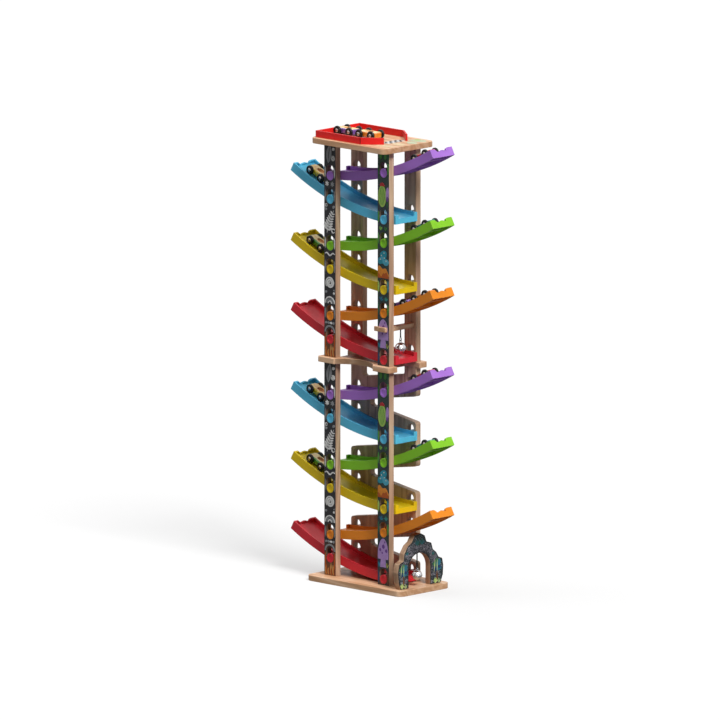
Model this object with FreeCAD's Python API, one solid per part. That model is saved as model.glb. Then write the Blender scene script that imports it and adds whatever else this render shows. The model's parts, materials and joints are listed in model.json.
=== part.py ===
"""Toy car ramp: a two-storey zigzag race track of wood with twelve curved plastic ramps.

Millimetres, +Z up, -Y towards the viewer. The origin is on the ground under the middle of
the towers. Small cars start in the tray on top, roll down one ramp after the other, and
ring the bells beside the last ramp of each storey and in the finish gate.
"""
import FreeCAD
import Part

import math
import os

from FreeCAD import Vector

# Boards
board_thickness = 10.0
base_length = 232.8
base_width = 127.0
base_left_margin = 22.8
base_corner = 13.0
top_length = 183.0
top_width = 127.0
top_corner = 12.0
mid_length = 177.0
mid_margin = 9.0
mid_corner = 5.0
mid_notch_depth = 33.5
mid_notch_corner = 6.0
mid_scoop_length = 96.0
mid_scoop_depth = 24.5

# Posts
post_width = 28.0
post_thickness = 12.0
peg_spacing = 131.0

# Ramps: an arc-shaped channel with a peg at each post
ramp_width = 54.0
ramp_side_clearance = 0.5
ramp_radius = 519.0
ramp_wall_height = 16.0
ramp_wall = 3.0
ramp_floor_height = 9.5
ramp_floor_thickness = 3.0
ramp_end_wall = 3.0
ramp_ear_width = 8.0
ramp_dip_depth = 5.3
ramp_dip_place = 10.5
ramp_bump_depth = 3.2
peg_to_lowest = 13.0
ramp_low_tail = 5.0
ramp_high_reach = 109.2
rib_thickness = 2.5
rib_lift = 1.0
rib_first = 18.0
rib_spacing = 38.0
rib_count = 6

# Pegs and their slots
peg_diameter = 16.4
peg_dish_diameter = 10.6
peg_dish_depth = 0.8
slot_width = 18.0
slot_height = 28.0
peg_seat_gap = 0.3
first_peg_height = 10.5
ramp_pitch = 62.3
peg_head_room = 37.5

# Zigzag back panel of the lower storey
band_below_peg = 16.0
band_above_peg = 25.0
bay_end_height = 11.1
bay_corner = 5.0
panel_corner = 5.0

# Start tray on the top board
tray_length = 110.0
tray_width = 110.0
tray_height = 12.0
tray_wall = 3.0
tray_left_margin = 6.0
tray_slit = 1.2
wing_length = 32.5
wing_inset = 25.5

# Finish gate
gate_width = 114.0
gate_height = 94.0
gate_thickness = 12.0
gate_right_margin = 12.0
gate_softness = 3.0
arch_width = 54.0
arch_height = 60.0
arch_y = -3.0

# Bells and their hanger
bar_width = 12.0
bar_height = 8.0
bar_post_margin = 4.5
bar_above_peg = 50.5
bar_tenon = 6.0
bar_clearance = 0.15
bar_head_length = 28.5
bar_head_proud = 5.0
bar_head_round = 2.2
upper_bell_diameter = 20.0
upper_cord_drop = 23.0
finish_bell_diameter = 18.0
finish_cord_drop = 31.0
bell_wall = 0.8
bell_rim_proud = 0.6
bell_rim_height = 1.2
bell_slot = 1.6
bell_slot_margin = 3.0
bell_slot_stop = 3.0
bell_ball_diameter = 4.0
bell_ball_gap = 0.4
cord_diameter = 1.3
cord_spread = 4.4
cord_gap = 0.3
cord_eye_gap = 0.1
eye_diameter = 4.4
eye_wire = 1.2

# Cars
car_length = 44.5
car_width = 20.0
car_height = 9.5
car_ground = 3.5
car_nose_round = 6.0
car_edge_round = 1.2
cockpit_length = 15.0
cockpit_width = 11.0
cockpit_depth = 3.0
cockpit_end_flat = 1.0
wheelbase = 28.5
wheel_diameter = 16.0
wheel_thickness = 4.0
wheel_round = 1.2
wheel_side_gap = 0.5
hub_diameter = 6.0
hub_recess = 0.6
hub_ring_diameter = 9.9
axle_diameter = 3.0
axle_clearance = 0.08
wheel_floor_gap = 0.3
car_to_high_end = 46.7
queue_spacing = 53.5
tray_car_wall_gap = 0.9
tray_queue_spacing = 53.0

# Worked out from the sizes above
tower_inside = ramp_width + 2 * ramp_side_clearance
post_inner = tower_inside / 2
post_outer = post_inner + post_thickness
post_left = -peg_spacing / 2 - post_width / 2
post_right = -post_left
peg_radius_place = ramp_radius - ramp_wall_height / 2
arc_x = peg_spacing / 2 + peg_to_lowest
peg_low_drop = math.sqrt(peg_radius_place ** 2 - peg_to_lowest ** 2)
peg_high_drop = math.sqrt(peg_radius_place ** 2 - (peg_spacing + peg_to_lowest) ** 2)
peg_drop = peg_low_drop - peg_high_drop
colours = ("red", "orange", "yellow", "green", "blue", "purple")
storey_height = (first_peg_height + (len(colours) - 1) * ramp_pitch + peg_drop
                 + peg_head_room)
lower_floor = board_thickness
mid_level = lower_floor + storey_height
upper_floor = mid_level + board_thickness
top_level = upper_floor + storey_height
deck_level = top_level + board_thickness
storeys = (("lower", lower_floor), ("upper", upper_floor))
high_angle = math.degrees(math.asin((peg_spacing + peg_to_lowest + ramp_high_reach) / ramp_radius))
low_angle = -math.degrees(math.asin(ramp_low_tail / ramp_radius))
floor_radius = ramp_radius - ramp_floor_height
wheel_radius = wheel_diameter / 2
axle_radius_place = floor_radius - wheel_floor_gap - wheel_radius
axle_rise = axle_radius_place - math.sqrt(axle_radius_place ** 2 - (wheelbase / 2) ** 2)
ramp_car_place = peg_spacing / 2 + ramp_high_reach - car_to_high_end
gate_right = base_length - base_left_margin + post_left - gate_right_margin
gate_left = gate_right - gate_thickness
bar_right = post_right - bar_post_margin
bar_left = bar_right - bar_width


def save(name, shape):
    """Write one named piece to its own file."""
    shape.exportStep("parts/" + name + ".step")


def block(x0, x1, y0, y1, z0, z1):
    """Rectangular block between two corners."""
    return Part.makeBox(x1 - x0, y1 - y0, z1 - z0, Vector(x0, y0, z0))


def join(pieces):
    """Fuse touching solids into one and drop the seams."""
    return pieces[0].fuse(pieces[1:]).removeSplitter()


def outline(points, radius, plane):
    """Closed wire through points, each corner rounded by a tangent arc.

    radius is one number or a list with one number per point; plane turns a 2-D point
    into a vector.
    """
    radii = radius if isinstance(radius, (list, tuple)) else [radius] * len(points)
    count = len(points)
    starts = []
    middles = []
    ends = []
    for i in range(count):
        here = Vector(*points[i], 0)
        back = Vector(*points[i - 1], 0) - here
        ahead = Vector(*points[(i + 1) % count], 0) - here
        back.normalize()
        ahead.normalize()
        half = back.getAngle(ahead) / 2
        reach = radii[i] / math.tan(half)
        bisector = (back + ahead).normalize()
        middle = here + bisector * (radii[i] / math.sin(half) - radii[i])
        starts.append(here + back * reach)
        middles.append(middle)
        ends.append(here + ahead * reach)
    edges = []
    for i in range(count):
        if radii[i] > 0:
            arc = [plane(p.x, p.y) for p in (starts[i], middles[i], ends[i])]
            edges.append(Part.Arc(*arc).toShape())
        following = starts[(i + 1) % count]
        if (following - ends[i]).Length > 1e-6:
            line = Part.LineSegment(plane(ends[i].x, ends[i].y), plane(following.x, following.y))
            edges.append(line.toShape())
    return Part.Wire(edges)


def plate(points, radius, z0, z1):
    """Flat plate: an outline in X and Y, raised from z0 to z1."""
    wire = outline(points, radius, lambda x, y: Vector(x, y, z0))
    return Part.Face(wire).extrude(Vector(0, 0, z1 - z0))


def upright(points, radius, y0, y1):
    """Upright plate: an outline in X and Z, carried along Y."""
    wire = outline(points, radius, lambda x, z: Vector(x, y0, z))
    return Part.Face(wire).extrude(Vector(0, y1 - y0, 0))


def cross_plate(points, radius, x0, x1):
    """Upright plate across the track: an outline in Y and Z, carried along X."""
    wire = outline(points, radius, lambda y, z: Vector(x0, y, z))
    return Part.Face(wire).extrude(Vector(x1 - x0, 0, 0))


def rectangle(x0, x1, y0, y1):
    """Corners of a rectangle, in order."""
    return [(x0, y0), (x1, y0), (x1, y1), (x0, y1)]


def is_left_high(index):
    """Ramps alternate, and the lowest one starts on the left."""
    return index % 2 == 0


def low_peg_z(floor, index):
    """Height of a ramp's lower pegs."""
    return floor + first_peg_height + index * ramp_pitch


def peg_z(floor, index, side):
    """Height of a ramp's peg at the left (-1) or right (1) posts."""
    is_low = (side > 0) == is_left_high(index)
    return low_peg_z(floor, index) + (0 if is_low else peg_drop)


def peg_line_z(floor, index, x):
    """Height at x of the straight line through a ramp's two pegs."""
    left = peg_z(floor, index, -1)
    right = peg_z(floor, index, 1)
    return left + (right - left) * (x / peg_spacing + 0.5)


def arc_z(floor, index):
    """Height of the centre of a ramp's arc."""
    return low_peg_z(floor, index) + peg_low_drop


def across(diameter, length, x, y, z):
    """Round bar along Y, from its end at (x, y, z)."""
    return Part.makeCylinder(diameter / 2, length, Vector(x, y, z), Vector(0, 1, 0))


def slot(x, seat_z, y0, y1):
    """Upright slot with round ends; the peg's axis rests at seat_z."""
    radius = slot_width / 2
    low = seat_z + radius - peg_diameter / 2 - peg_seat_gap
    high = low + slot_height - slot_width
    ends = [across(slot_width, y1 - y0, x, y0, z) for z in (low, high)]
    return join(ends + [block(x - radius, x + radius, y0, y1, low, high)])


def slots(floor, sides, y0, y1):
    """All the peg slots of one storey through the posts on the given sides."""
    cuts = []
    for side in sides:
        for index in range(len(colours)):
            cuts.append(slot(side * peg_spacing / 2, peg_z(floor, index, side), y0 - 1, y1 + 1))
    return cuts


def post_pair(floor, y0, y1):
    """Left and right post of one storey, with their peg slots."""
    posts = []
    for side in (-1, 1):
        x = side * peg_spacing / 2
        post = block(x - post_width / 2, x + post_width / 2, y0, y1, floor, floor + storey_height)
        posts.append(post.cut(slots(floor, [side], y0, y1)))
    return posts


def base_board():
    """Base with round corners, longer on the side of the finish gate."""
    x0 = post_left - base_left_margin
    corners = rectangle(x0, x0 + base_length, -base_width / 2, base_width / 2)
    return plate(corners, base_corner, 0, board_thickness)


def top_board():
    """Deck that carries the start tray."""
    corners = rectangle(-top_length / 2, top_length / 2, -top_width / 2, top_width / 2)
    return plate(corners, top_corner, top_level, deck_level)


def mid_board():
    """Board between the storeys, notched at both ends for the cars, scooped in front."""
    x1 = mid_length / 2
    y1 = post_outer + mid_margin
    board = plate(rectangle(-x1, x1, -y1, y1), mid_corner, mid_level, upper_floor)
    for side in (-1, 1):
        inner = side * (x1 - mid_notch_depth)
        outer = side * (x1 + mid_notch_corner + 1)
        notch = plate(rectangle(min(inner, outer), max(inner, outer), -post_inner, post_inner),
                      mid_notch_corner, mid_level - 1, upper_floor + 1)
        board = board.cut(notch)
    scoop_radius = (mid_scoop_length ** 2 / 4 + mid_scoop_depth ** 2) / (2 * mid_scoop_depth)
    scoop_y = -y1 + mid_scoop_depth - scoop_radius
    scoop = Part.makeCylinder(scoop_radius, board_thickness + 2, Vector(0, scoop_y, mid_level - 1))
    return board.cut(scoop)


def back_panel(floor):
    """Zigzag panel behind the lower ramps: one sloping band per ramp, joined by turns at
    the left and the right, with wedge-shaped bays that are open on the other side."""
    y0 = post_inner
    y1 = post_outer
    top = floor + storey_height
    panel = upright(rectangle(post_left, post_right, floor, top), 0, y0, y1)
    middle_height = ramp_pitch - band_below_peg - band_above_peg
    bay_reach = (middle_height - bay_end_height) / 2 * peg_spacing / peg_drop
    for index in range(len(colours) - 1):
        inner_side = -1 if is_left_high(index) else 1
        inner_x = inner_side * bay_reach
        outer_x = -inner_side * (post_right + bay_corner)
        corners = []
        for x in (inner_x, outer_x):
            low = peg_line_z(floor, index, x) + band_above_peg
            high = peg_line_z(floor, index + 1, x) - band_below_peg
            corners.append((x, low))
            corners.append((x, high))
        ordered = [corners[0], corners[2], corners[3], corners[1]]
        bay = upright(ordered, [bay_corner, 0, 0, bay_corner], y0 - 1, y1 + 1)
        panel = panel.cut(bay)
    last = len(colours) - 1
    inner = post_right - post_width
    bay_top = top + bay_corner
    low_left = peg_line_z(floor, last, -inner) + band_above_peg
    low_right = peg_line_z(floor, last, inner) + band_above_peg
    top_bay = upright([(-inner, low_left), (inner, low_right), (inner, bay_top), (-inner, bay_top)],
                      [bay_corner, bay_corner, 0, 0], y0 - 1, y1 + 1)
    panel = panel.cut([top_bay] + slots(floor, [-1, 1], y0, y1))
    free = []
    for edge in panel.Edges:
        ends = [v.Point for v in edge.Vertexes]
        if len(ends) < 2 or abs(ends[0].y - ends[1].y) < post_thickness - 0.1:
            continue
        at_side = abs(abs(ends[0].x) - post_right) < 0.01
        if at_side and floor + 1 < ends[0].z < top - 1:
            free.append(edge)
    return panel.makeFillet(panel_corner, free)


def sector(outer, inner, angle0, angle1, y0, y1):
    """Part of a ring round the Y axis, between two angles from straight down."""
    def at(radius, angle):
        turn = math.radians(angle)
        return Vector(-radius * math.sin(turn), y0, -radius * math.cos(turn))
    middle = (angle0 + angle1) / 2
    wire = Part.Wire([
        Part.Arc(at(outer, angle0), at(outer, middle), at(outer, angle1)).toShape(),
        Part.LineSegment(at(outer, angle1), at(inner, angle1)).toShape(),
        Part.Arc(at(inner, angle1), at(inner, middle), at(inner, angle0)).toShape(),
        Part.LineSegment(at(inner, angle0), at(outer, angle0)).toShape(),
    ])
    return Part.Face(wire).extrude(Vector(0, y1 - y0, 0))


def arc_degrees(length):
    """Angle of a length along the underside of a ramp."""
    return math.degrees(length / ramp_radius)


def end_frame(angle, thickness, is_scalloped):
    """Cross wall at a ramp's end, with an ear at each side.

    At the high end the wall between the ears dips twice beside a low bump; at the low end
    it stops at the floor. It is drawn at the bottom of the arc and turned into place.
    """
    half = ramp_width / 2
    ear = half - ramp_ear_width
    bottom = -ramp_radius
    top = bottom + ramp_wall_height
    x0 = 0 if thickness > 0 else thickness
    x1 = thickness if thickness > 0 else 0

    def at(y, z):
        return Vector(x0, y, z)

    if is_scalloped:
        dip = top - ramp_dip_depth
        heights = [(-ear, top), (-ramp_dip_place, dip), (0, top - ramp_bump_depth),
                   (ramp_dip_place, dip), (ear, top)]
        curve = Part.BSplineCurve()
        flat = Vector(0, 1, 0)
        curve.interpolate([at(y, z) for y, z in heights], InitialTangent=flat, FinalTangent=flat)
        edges = [curve.toShape()]
        rim = [(ear, top), (half, top), (half, bottom), (-half, bottom), (-half, top), (-ear, top)]
    else:
        edges = []
        deck = bottom + ramp_floor_height
        rim = [(ear, deck), (ear, top), (half, top), (half, bottom), (-half, bottom), (-half, top),
               (-ear, top), (-ear, deck), (ear, deck)]
    for here, following in zip(rim, rim[1:]):
        edges.append(Part.LineSegment(at(*here), at(*following)).toShape())
    wall = Part.Face(Part.Wire(edges)).extrude(Vector(x1 - x0, 0, 0))
    wall.rotate(Vector(0, 0, 0), Vector(0, 1, 0), angle)
    return wall


def ramp(floor, index):
    """One ramp: floor and side walls bent to an arc, end walls, ribs and four pegs."""
    half = ramp_width / 2
    inner = half - ramp_wall
    wall_top = ramp_radius - ramp_wall_height
    floor_under = floor_radius + ramp_floor_thickness
    pieces = [sector(floor_under, floor_radius, low_angle, high_angle, -half, half)]
    for y0 in (-half, inner):
        pieces.append(sector(ramp_radius, wall_top, low_angle, high_angle, y0, y0 + ramp_wall))
    pieces.append(end_frame(high_angle, ramp_end_wall, True))
    pieces.append(end_frame(low_angle, -ramp_end_wall, False))
    for number in range(rib_count):
        near = high_angle - arc_degrees(rib_first + number * rib_spacing)
        far = near - arc_degrees(rib_thickness)
        pieces.append(sector(ramp_radius - rib_lift, floor_under, far, near, -inner, inner))
    body = join(pieces)
    body.translate(Vector(arc_x, 0, peg_low_drop))
    pegs = []
    dishes = []
    peg_length = post_outer - inner
    for x, z in ((peg_spacing / 2, 0), (-peg_spacing / 2, peg_drop)):
        for y, dish_y in ((-post_outer, -post_outer), (inner, post_outer - peg_dish_depth)):
            pegs.append(across(peg_diameter, peg_length, x, y, z))
            dishes.append(across(peg_dish_diameter, peg_dish_depth, x, dish_y, z))
    body = join([body] + pegs).cut(dishes)
    if not is_left_high(index):
        body = body.mirror(Vector(0, 0, 0), Vector(1, 0, 0))
    body.translate(Vector(0, 0, low_peg_z(floor, index)))
    return body


def start_tray():
    """Red rail round the start: an L at the left and front, a back rail, and two wings
    that lead the cars to the opening at the right."""
    x0 = -top_length / 2 + tray_left_margin
    x1 = x0 + tray_length
    y1 = tray_width / 2
    z1 = deck_level + tray_height
    wall = tray_wall
    wing_slope = math.atan2(wing_inset, wing_length)
    inner_shift = wall * math.tan(wing_slope / 2)
    wing_x = x1 + wing_length
    wing_y = y1 - wing_inset
    end_dx = wall * math.sin(wing_slope)
    end_dy = wall * math.cos(wing_slope)
    left_and_front = [(x0, -y1), (x1 - tray_slit, -y1), (x1 - tray_slit, -y1 + wall),
                      (x0 + wall, -y1 + wall), (x0 + wall, y1 - wall - tray_slit),
                      (x0, y1 - wall - tray_slit)]
    back_and_wing = [(x0, y1), (x0, y1 - wall), (x1 - inner_shift, y1 - wall),
                     (wing_x - end_dx, wing_y - end_dy), (wing_x, wing_y), (x1, y1)]
    front_wing = [(x1, -y1), (wing_x, -wing_y), (wing_x - end_dx, -wing_y + end_dy),
                  (x1 - inner_shift, -y1 + wall)]
    rails = [plate(rail, 0, deck_level, z1) for rail in (left_and_front, back_and_wing, front_wing)]
    return Part.makeCompound(rails)


def finish_gate():
    """Gate of one rocky outline over an arch, with a bush beside each leg."""
    rocks = [(0.88, 0), (0.98, 0.15), (1, 0.32), (0.95, 0.46), (0.79, 0.5), (0.68, 0.6), (0.54, 0.66),
             (0.47, 0.79), (0.26, 0.83), (0.18, 0.95), (0.02, 1), (-0.26, 0.98), (-0.39, 0.86),
             (-0.56, 0.8), (-0.72, 0.66), (-0.75, 0.53), (-0.93, 0.49), (-1, 0.32), (-0.96, 0.13),
             (-0.88, 0)]
    points = [(y * gate_width / 2, board_thickness + z * gate_height) for y, z in rocks]
    softness = [0] + [gate_softness] * (len(rocks) - 2) + [0]
    gate = cross_plate(points, softness, gate_left, gate_right)
    half = arch_width / 2
    spring = board_thickness + arch_height - half
    opening = block(gate_left - 1, gate_right + 1, arch_y - half, arch_y + half, board_thickness - 1, spring)
    crown = Part.makeCylinder(half, gate_thickness + 2, Vector(gate_left - 1, arch_y, spring),
                              Vector(1, 0, 0))
    return gate.cut([opening, crown])


def bar_bottom():
    """Height of the hanger's underside."""
    return peg_z(upper_floor, 0, 1) + bar_above_peg


def bell_bar():
    """Hanger: a bar from a cross head in front, through the front post, into the back one."""
    bar_z0 = bar_bottom()
    z1 = bar_z0 + bar_height
    bar = block(bar_left, bar_right, -post_outer, post_inner + bar_tenon, bar_z0, z1)
    head = plate(rectangle(bar_right - bar_head_length, bar_right, -post_outer - bar_head_proud, -post_outer),
                 [bar_head_round, bar_head_round, 0, 0], bar_z0, z1)
    return join([bar, head])


def bar_mortise():
    """Hole in the upper posts for the hanger, with its clearance."""
    c = bar_clearance
    bar_z0 = bar_bottom()
    return block(bar_left - c, bar_right + c, -post_outer - 1, post_inner + bar_tenon + c,
                 bar_z0 - c, bar_z0 + bar_height + c)


def bell_shell(centre, radius):
    """Hollow ball with a rim round its middle and crossed slots below that end in round holes."""
    rim = Part.makeCylinder(radius + bell_rim_proud, bell_rim_height,
                            centre - Vector(0, 0, bell_rim_height / 2))
    shell = Part.makeSphere(radius, centre).fuse(rim).cut(Part.makeSphere(radius - bell_wall, centre))
    reach = radius - bell_slot_margin
    low = centre.z - radius - bell_wall
    high = centre.z - bell_slot_stop
    cuts = []
    for dx, dy in ((reach, bell_slot / 2), (bell_slot / 2, reach)):
        cuts.append(block(centre.x - dx, centre.x + dx, centre.y - dy, centre.y + dy, low, high))
    for dx, dy in ((reach, 0), (-reach, 0), (0, reach), (0, -reach)):
        cuts.append(Part.makeCylinder(bell_slot, high - low, Vector(centre.x + dx, centre.y + dy, low)))
    return shell.cut(cuts)


def bell_cord(eye, hang_z):
    """Doubled cord: a half turn through the eye and two strands that meet at the hanging point."""
    half = cord_spread / 2
    turn_z = eye.z + (eye_diameter - eye_wire - cord_diameter) / 2 - cord_eye_gap + half
    turn = Part.makeTorus(half, cord_diameter / 2, Vector(eye.x, eye.y, turn_z), Vector(1, 0, 0))
    above = block(eye.x - half, eye.x + half, eye.y - cord_spread, eye.y + cord_spread,
                  turn_z, turn_z + cord_spread)
    pieces = [turn.cut(above)]
    hang = Vector(eye.x, eye.y, hang_z)
    for side in (-1, 1):
        foot = Vector(eye.x, eye.y + side * half, turn_z)
        run = hang - foot
        pieces.append(Part.makeCylinder(cord_diameter / 2, run.Length, foot, run))
        pieces.append(Part.makeSphere(cord_diameter / 2, foot))
    return pieces


def bell(x, y, hang_z, drop, diameter):
    """Jingle bell: a slotted ball with an eye and a loose ball inside, on its doubled cord."""
    radius = diameter / 2
    top_z = hang_z - cord_gap - drop
    centre = Vector(x, y, top_z - radius)
    eye = Vector(x, y, top_z + eye_diameter / 2 - eye_wire / 2)
    ring = Part.makeTorus(eye_diameter / 2, eye_wire / 2, eye, Vector(0, 1, 0))
    ring = ring.cut(Part.makeSphere(radius - bell_wall / 2, centre))
    body = bell_shell(centre, radius).fuse([ring] + bell_cord(eye, hang_z))
    clip = block(x - cord_spread, x + cord_spread, y - cord_spread, y + cord_spread,
                 hang_z - cord_gap, hang_z + cord_spread)
    body = body.cut(clip).removeSplitter()
    ball_z = centre.z - radius + bell_wall + bell_ball_diameter / 2 + bell_ball_gap
    ball = Part.makeSphere(bell_ball_diameter / 2, Vector(x, y, ball_z))
    return Part.makeCompound([body, ball])


def car_body():
    """Car body round its own origin: floor level, midway between the axles."""
    x1 = car_length / 2
    y1 = car_width / 2
    z0 = wheel_floor_gap + car_ground
    top = z0 + car_height
    shell = plate(rectangle(-x1, x1, -y1, y1), car_nose_round, z0, top)
    rim = [e for e in shell.Edges if all(abs(v.Z - top) < 0.01 for v in e.Vertexes)]
    shell = shell.makeFillet(car_edge_round, rim)
    seat_x = cockpit_length / 2
    seat_y = cockpit_width / 2
    seat_corner = seat_y - cockpit_end_flat / 2
    cuts = [plate(rectangle(-seat_x, seat_x, -seat_y, seat_y), seat_corner, top - cockpit_depth, top + 1)]
    for side in (-1, 1):
        cuts.append(Part.makeCylinder(axle_diameter / 2 + axle_clearance, car_width + 2,
                                      Vector(side * wheelbase / 2, -y1 - 1, wheel_floor_gap + wheel_radius),
                                      Vector(0, 1, 0)))
    return shell.cut(cuts)


def wheelset(side):
    """Axle with a wheel pressed on each end, behind (-1) or ahead (1) of the middle."""
    inner = car_width / 2 + wheel_side_gap
    outer = inner + wheel_thickness
    axle = Vector(side * wheelbase / 2, 0, wheel_floor_gap + wheel_radius)
    along = Vector(0, 1, 0)
    pieces = [Part.makeCylinder(axle_diameter / 2, 2 * inner + 2, axle - along * (inner + 1), along)]
    for hand in (-1, 1):
        start = axle + along * (inner if hand > 0 else -outer)
        wheel = Part.makeCylinder(wheel_radius, wheel_thickness, start, along)
        rims = [e for e in wheel.Edges if e.Closed and e.Length > wheel_radius]
        wheel = wheel.makeFillet(wheel_round, rims)
        face = axle + along * (outer - hub_recess if hand > 0 else -outer)
        ring = Part.makeCylinder(hub_ring_diameter / 2, hub_recess, face, along)
        ring = ring.cut(Part.makeCylinder(hub_diameter / 2, hub_recess, face, along))
        pieces.append(wheel.cut(ring))
    return join(pieces)


def place_on_ramp(shape, floor, index, place):
    """Put a car's piece on a ramp's arc with its middle at the distance place from X = 0."""
    hand = 1 if is_left_high(index) else -1
    centre = Vector(hand * arc_x, 0, arc_z(floor, index))
    angle = math.degrees(math.asin((place + arc_x) / axle_radius_place))
    lift = axle_rise - axle_radius_place - wheel_radius - wheel_floor_gap
    moved = shape.copy()
    if hand < 0:
        moved.rotate(Vector(0, 0, 0), Vector(0, 0, 1), 180)
    moved.translate(centre + Vector(0, 0, lift))
    moved.rotate(centre, Vector(0, 1, 0), hand * angle)
    return moved


def place_on_deck(shape, x):
    """Put a car's piece on the top board with its middle at x."""
    moved = shape.copy()
    moved.translate(Vector(x, 0, deck_level))
    return moved


def save_boards_and_posts():
    """Boards, posts, back panel and the rails on top."""
    save("base_board", base_board())
    save("mid_board", mid_board())
    save("top_board", top_board())
    save("lower_back_panel", back_panel(lower_floor))
    save("lower_front_posts", Part.makeCompound(post_pair(lower_floor, -post_outer, -post_inner)))
    mortise = bar_mortise()
    for name, y0, y1 in (("upper_front_posts", -post_outer, -post_inner),
                         ("upper_back_posts", post_inner, post_outer)):
        left, right = post_pair(upper_floor, y0, y1)
        save(name, Part.makeCompound([left, right.cut(mortise)]))
    save("start_tray", start_tray())
    save("finish_gate", finish_gate())


def save_bells():
    """The hanger and the two bells."""
    save("bell_bar", bell_bar())
    bar_middle = (bar_left + bar_right) / 2
    save("upper_bell", bell(bar_middle, 0, bar_bottom(), upper_cord_drop, upper_bell_diameter))
    arch_top = board_thickness + arch_height
    gate_middle = (gate_left + gate_right) / 2
    save("finish_bell", bell(gate_middle, arch_y, arch_top, finish_cord_drop, finish_bell_diameter))


def save_ramps():
    """Six ramps in each storey, named by colour."""
    for storey, floor in storeys:
        for index, colour in enumerate(colours):
            save(storey + "_ramp_" + colour, ramp(floor, index))


def save_cars():
    """Ten cars on the ramps and two in the tray, each a body and two wheelsets."""
    parts = (("body", car_body()), ("front_wheels", wheelset(1)), ("rear_wheels", wheelset(-1)))
    parked = []
    for storey, floor in storeys:
        for name, colour in (("red", "purple"), ("teal", "green"), ("yellow", "blue"), ("green", "yellow")):
            parked.append((storey + "_" + name + "_car", floor, colours.index(colour), ramp_car_place))
    orange = colours.index("orange")
    parked.append(("upper_orange_car", upper_floor, orange, ramp_car_place))
    parked.append(("upper_purple_car", upper_floor, orange, ramp_car_place - queue_spacing))
    for name, floor, index, place in parked:
        for part, shape in parts:
            save(name + "_" + part, place_on_ramp(shape, floor, index, place))
    tail_x = -top_length / 2 + tray_left_margin + tray_wall + tray_car_wall_gap + car_length / 2
    for name, x in (("tray_purple_car", tail_x), ("tray_orange_car", tail_x + tray_queue_spacing)):
        for part, shape in parts:
            save(name + "_" + part, place_on_deck(shape, x))


os.makedirs("parts", exist_ok=True)
save_boards_and_posts()
save_bells()
save_ramps()
save_cars()
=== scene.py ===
"""Looks of a toy car ramp: two storeys of curved plastic ramps between printed wooden posts,
small wooden cars with black wheels, a red start tray, two jingle bells and a finish gate.

Metres, +Z up, -Y towards the viewer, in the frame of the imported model.
"""

import json
import math

import bmesh
import bpy
import numpy as np
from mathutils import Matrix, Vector


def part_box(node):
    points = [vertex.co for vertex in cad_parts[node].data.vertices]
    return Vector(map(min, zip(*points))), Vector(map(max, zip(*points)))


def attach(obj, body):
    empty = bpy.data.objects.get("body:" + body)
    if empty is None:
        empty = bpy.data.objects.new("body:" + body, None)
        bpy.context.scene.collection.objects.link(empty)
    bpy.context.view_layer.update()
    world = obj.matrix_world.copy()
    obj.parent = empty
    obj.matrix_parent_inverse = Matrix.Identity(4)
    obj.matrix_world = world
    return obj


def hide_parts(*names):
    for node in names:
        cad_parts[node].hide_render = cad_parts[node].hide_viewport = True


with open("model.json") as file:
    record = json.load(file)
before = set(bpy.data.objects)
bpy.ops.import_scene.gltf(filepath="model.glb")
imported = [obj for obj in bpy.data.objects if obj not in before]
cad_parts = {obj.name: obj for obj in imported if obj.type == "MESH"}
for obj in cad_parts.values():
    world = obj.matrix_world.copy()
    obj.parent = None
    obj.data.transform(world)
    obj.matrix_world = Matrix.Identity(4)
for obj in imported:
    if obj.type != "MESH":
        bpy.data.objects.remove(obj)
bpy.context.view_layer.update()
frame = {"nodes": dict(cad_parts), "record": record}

MM = 0.001
body_of = {node: body for body, nodes in frame["record"]["behaviour"]["bodies"].items() for node in nodes}


# Colours

def tint(code):
    """Linear colour of a six-digit code as paint shops write it."""
    channels = np.array([int(code[i:i + 2], 16) for i in (0, 2, 4)]) / 255
    linear = np.where(channels < 0.04045, channels / 12.92, ((channels + 0.055) / 1.055) ** 2.4)
    return (*linear.tolist(), 1.0)


def dimmed(code, share):
    """Linear colour of a code with its channels times a share."""
    return (*(np.array(tint(code)[:3]) * share).tolist(), 1.0)


plastic_colours = {"purple": "ac76d6", "blue": "5cc4ea", "green": "86cc26", "yellow": "e8c810",
                   "orange": "ee8c1e", "red": "d92b38"}
paint_colours = {"red": "c8222e", "teal": "1a9c8c", "yellow": "f4d424", "green": "54a83a",
                 "orange": "f08a1c", "purple": "7a55a8"}
ink_colours = {"chalk": "e6e6e4", "grey": "8e9194", "soot": "18181a", "rust": "b4571d", "umber": "6b4023",
               "sand": "cf9a58", "leaf": "4b8f3c", "moss": "2a5a3c", "lilac": "b391cf", "plum": "6c4690",
               "teal": "2c8fa3", "sky": "4fa6bd", "lime": "9fc25e", "amber": "dd8a2e", "cream": "f2e6cc",
               "navy": "2b3f6b", "crimson": "b32f33", "mist": "c6cfae", "hay": "e6cda6", "pool": "2a6c80",
               "dusk": "26385f", "fern": "3f7450", "straw": "c3cf8e"}


# Finishes

edge_softness = 0.7 * MM


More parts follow.
